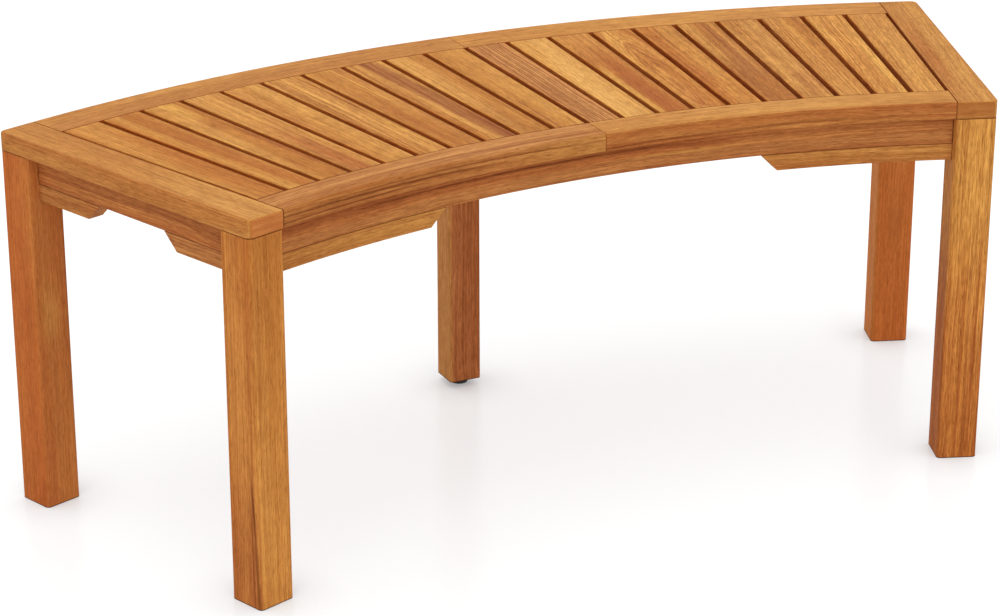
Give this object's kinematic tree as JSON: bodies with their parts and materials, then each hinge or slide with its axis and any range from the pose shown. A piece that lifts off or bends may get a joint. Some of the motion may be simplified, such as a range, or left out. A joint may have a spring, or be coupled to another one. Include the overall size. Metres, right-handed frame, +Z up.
{
  "type": "curved outdoor bench",
  "caption": "Backless wooden garden bench: an arc-shaped slatted seat between curved rails, on square corner legs and a middle leg with a levelling foot.",
  "frame": {"origin": "centre of the footprint's bounding box on the floor, between the feet", "axes": "+X runs along the bench from its left end to its right end as seen from the concave side, +Y points from the concave front edge to the convex back edge, +Z is up"},
  "size_m": [1.211, 0.5108, 0.45],
  "materials": {
    "slat_wood": "oiled honey-coloured hardwood, planed smooth, with straight open grain and board-to-board colour change",
    "frame_wood": "oiled honey-brown hardwood, planed smooth, rounded edges",
    "apron_wood": "oiled reddish-brown hardwood",
    "brace_wood": "oiled brown hardwood",
    "leg_wood": "oiled orange-brown hardwood, vertical grain, softly rounded edges",
    "hidden_wood": "planed hardwood under the seat",
    "dowel_wood": "plain beech dowel",
    "dark_steel": "blackened steel",
    "zinc_steel": "zinc-plated steel",
    "black_plastic": "black moulded plastic"
  },
  "bodies": {
    "bench": {"end_board_left": "frame_wood", "front_rail_left": "frame_wood", "back_rail_left": "frame_wood", "end_board_right": "frame_wood", "front_rail_right": "frame_wood", "back_rail_right": "frame_wood", "slat_01": "slat_wood", "slat_02": "slat_wood", "slat_03": "slat_wood", "slat_04": "slat_wood", "slat_05": "slat_wood", "slat_06": "slat_wood", "slat_07": "slat_wood", "slat_08": "slat_wood", "slat_09": "slat_wood", "slat_10": "slat_wood", "slat_11": "slat_wood", "slat_12": "slat_wood", "slat_13": "slat_wood", "slat_14": "slat_wood", "slat_15": "slat_wood", "slat_16": "slat_wood", "slat_17": "slat_wood", "slat_18": "slat_wood", "slat_19": "slat_wood", "slat_20": "slat_wood", "front_apron": "apron_wood", "back_apron_left": "apron_wood", "back_apron_right": "apron_wood", "end_apron_left": "apron_wood", "end_apron_right": "apron_wood", "front_ledger": "hidden_wood", "back_ledger": "hidden_wood", "centre_stretcher": "hidden_wood", "front_leg_left": "leg_wood", "front_leg_right": "leg_wood", "back_leg_left": "leg_wood", "back_leg_right": "leg_wood", "middle_leg": "leg_wood", "front_brace_left": "brace_wood", "front_brace_right": "brace_wood", "back_brace_left": "brace_wood", "back_brace_right": "brace_wood", "end_brace_front_left": "brace_wood", "end_brace_front_right": "brace_wood", "end_brace_back_left": "brace_wood", "end_brace_back_right": "brace_wood", "dowels": "dowel_wood", "leg_bolts": "dark_steel", "leg_bolt_washers": "zinc_steel", "apron_inserts": "zinc_steel", "rail_screws": "zinc_steel", "slat_screws": "zinc_steel", "ledger_screws": "zinc_steel", "foot_insert": "zinc_steel"},
    "pad": {"foot_pad": "black_plastic"},
    "stem": {"foot_stem": "zinc_steel"}
  },
  "joints": [
    {"name": "foot_travel", "type": "slide", "parent": "bench", "child": "pad", "axis": [0, 0, -1], "range_m": [-0.001, 0.012]},
    {"name": "foot_turn", "type": "hinge", "parent": "pad", "child": "stem", "pos_m": [0, 0.22667, 0.004], "axis": [0, 0, -1], "range_deg": [-288, 3456]}
  ],
  "couplings": [
    {"joint": "foot_turn", "follows": "foot_travel", "rad_per_m": 5026.5}
  ]
}
